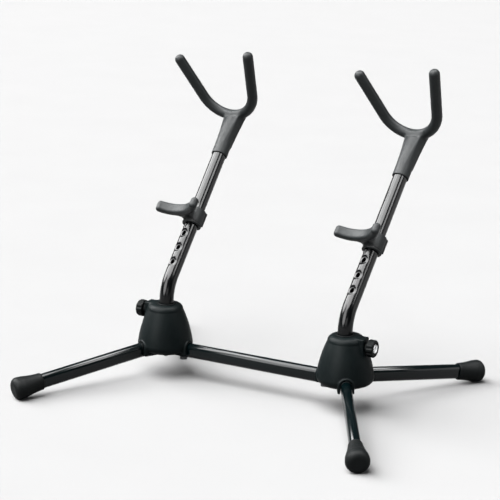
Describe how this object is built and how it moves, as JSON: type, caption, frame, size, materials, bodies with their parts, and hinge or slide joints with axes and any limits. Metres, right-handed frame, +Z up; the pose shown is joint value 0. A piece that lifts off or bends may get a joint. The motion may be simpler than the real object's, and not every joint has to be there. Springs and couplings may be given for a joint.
{
  "type": "double saxophone stand",
  "caption": "Double stand: bent stems on hubs joined by a bar, each with a sliding cradle and an upper yoke, on folding splayed legs.",
  "frame": {"origin": "on the floor, midway between the two hub axes, at the middle of the whole object's box", "axes": "+X along the cross bar towards the right-hand hub, +Y the way the stems lean, +Z up"},
  "size_m": [0.5308, 0.4156, 0.4397],
  "materials": {
    "hub_plastic": "satin moulded",
    "inner_plastic": "fine grain",
    "knob_plastic": "satin",
    "nylon": "natural",
    "stem_paint": "gloss black powder coat",
    "leg_paint": "gloss black powder coat",
    "zinc_steel": "zinc plated",
    "spring_steel": "bare spring steel",
    "brass_insert": "turned",
    "badge_metal": "satin",
    "soft_rubber": "matte",
    "foot_rubber": "matte"
  },
  "bodies": {
    "base": {"left_hub_shell": "hub_plastic", "left_base_plate": "inner_plastic", "left_base_screws": "zinc_steel", "left_stem_bush": "inner_plastic", "left_threaded_insert": "brass_insert", "left_bar_screw": "zinc_steel", "right_hub_shell": "hub_plastic", "right_base_plate": "inner_plastic", "right_base_screws": "zinc_steel", "right_stem_bush": "inner_plastic", "right_threaded_insert": "brass_insert", "right_bar_screw": "zinc_steel", "cross_bar": "leg_paint", "left_front_pivot_pin": "zinc_steel", "left_rear_pivot_pin": "zinc_steel", "right_front_pivot_pin": "zinc_steel", "right_rear_pivot_pin": "zinc_steel"},
    "left_seat": {"left_seat_cup": "inner_plastic"},
    "left_stem": {"left_stem_tube": "stem_paint", "left_stem_plug": "inner_plastic", "left_yoke_core": "zinc_steel", "left_yoke_sleeve": "soft_rubber"},
    "left_slider": {"left_cradle": "soft_rubber", "left_latch_spring": "spring_steel", "left_latch_rivet": "zinc_steel"},
    "left_shoe": {"left_clamp_shoe": "nylon"},
    "left_knob": {"left_clamp_knob": "knob_plastic", "left_knob_badge": "badge_metal", "left_clamp_screw": "zinc_steel"},
    "left_front_leg": {"left_front_leg_tube": "leg_paint", "left_front_pivot_block": "inner_plastic", "left_front_foot": "foot_rubber"},
    "left_rear_leg": {"left_rear_leg_tube": "leg_paint", "left_rear_pivot_block": "inner_plastic", "left_rear_foot": "foot_rubber"},
    "right_seat": {"right_seat_cup": "inner_plastic"},
    "right_stem": {"right_stem_tube": "stem_paint", "right_stem_plug": "inner_plastic", "right_yoke_core": "zinc_steel", "right_yoke_sleeve": "soft_rubber"},
    "right_slider": {"right_cradle": "soft_rubber", "right_latch_spring": "spring_steel", "right_latch_rivet": "zinc_steel"},
    "right_shoe": {"right_clamp_shoe": "nylon"},
    "right_knob": {"right_clamp_knob": "knob_plastic", "right_knob_badge": "badge_metal", "right_clamp_screw": "zinc_steel"},
    "right_front_leg": {"right_front_leg_tube": "leg_paint", "right_front_pivot_block": "inner_plastic", "right_front_foot": "foot_rubber"},
    "right_rear_leg": {"right_rear_leg_tube": "leg_paint", "right_rear_pivot_block": "inner_plastic", "right_rear_foot": "foot_rubber"}
  },
  "joints": [
    {"name": "left_front_leg_fold", "type": "hinge", "parent": "base", "child": "left_front_leg", "pos_m": [-0.153, -0.02598, 0.0415], "axis": [0.866, -0.5, 0], "range_deg": [0, 80]},
    {"name": "left_rear_leg_fold", "type": "hinge", "parent": "base", "child": "left_rear_leg", "pos_m": [-0.153, 0.02598, 0.0415], "axis": [-0.866, -0.5, 0], "range_deg": [0, 80]},
    {"name": "left_stem_swivel", "type": "hinge", "parent": "base", "child": "left_seat", "pos_m": [-0.138, 0, 0.05], "axis": [0, 0, 1], "range_deg": [-15, 90]},
    {"name": "left_stem_lift", "type": "slide", "parent": "left_seat", "child": "left_stem", "axis": [0, 0, 1], "range_m": [0, 0.05]},
    {"name": "left_cradle_slide", "type": "slide", "parent": "left_stem", "child": "left_slider", "axis": [-0.0179, 0.6818, 0.7314], "range_m": [-0.0705, 0.0235], "deforming": ["left_latch_spring"]},
    {"name": "left_shoe_slide", "type": "slide", "parent": "base", "child": "left_shoe", "axis": [-1, 0, 0], "range_m": [0, 0.0025]},
    {"name": "left_knob_turn", "type": "hinge", "parent": "left_shoe", "child": "left_knob", "pos_m": [-0.178, 0, 0.0893], "axis": [-1, 0, 0], "range_deg": [0, 720]},
    {"name": "right_front_leg_fold", "type": "hinge", "parent": "base", "child": "right_front_leg", "pos_m": [0.153, -0.02598, 0.0415], "axis": [0.866, 0.5, 0], "range_deg": [0, 80]},
    {"name": "right_rear_leg_fold", "type": "hinge", "parent": "base", "child": "right_rear_leg", "pos_m": [0.153, 0.02598, 0.0415], "axis": [-0.866, 0.5, 0], "range_deg": [0, 80]},
    {"name": "right_stem_swivel", "type": "hinge", "parent": "base", "child": "right_seat", "pos_m": [0.138, 0, 0.05], "axis": [0, 0, 1], "range_deg": [-90, 15]},
    {"name": "right_stem_lift", "type": "slide", "parent": "right_seat", "child": "right_stem", "axis": [0, 0, 1], "range_m": [0, 0.05]},
    {"name": "right_cradle_slide", "type": "slide", "parent": "right_stem", "child": "right_slider", "axis": [0.0238, 0.6816, 0.7314], "range_m": [-0.0705, 0.0235], "deforming": ["right_latch_spring"]},
    {"name": "right_shoe_slide", "type": "slide", "parent": "base", "child": "right_shoe", "axis": [1, 0, 0], "range_m": [0, 0.0025]},
    {"name": "right_knob_turn", "type": "hinge", "parent": "right_shoe", "child": "right_knob", "pos_m": [0.178, 0, 0.0893], "axis": [1, 0, 0], "range_deg": [0, 720]}
  ],
  "couplings": [
    {"joint": "left_knob_turn", "follows": "left_shoe_slide", "rad_per_m": 5026.5},
    {"joint": "right_knob_turn", "follows": "right_shoe_slide", "rad_per_m": 5026.5}
  ]
}
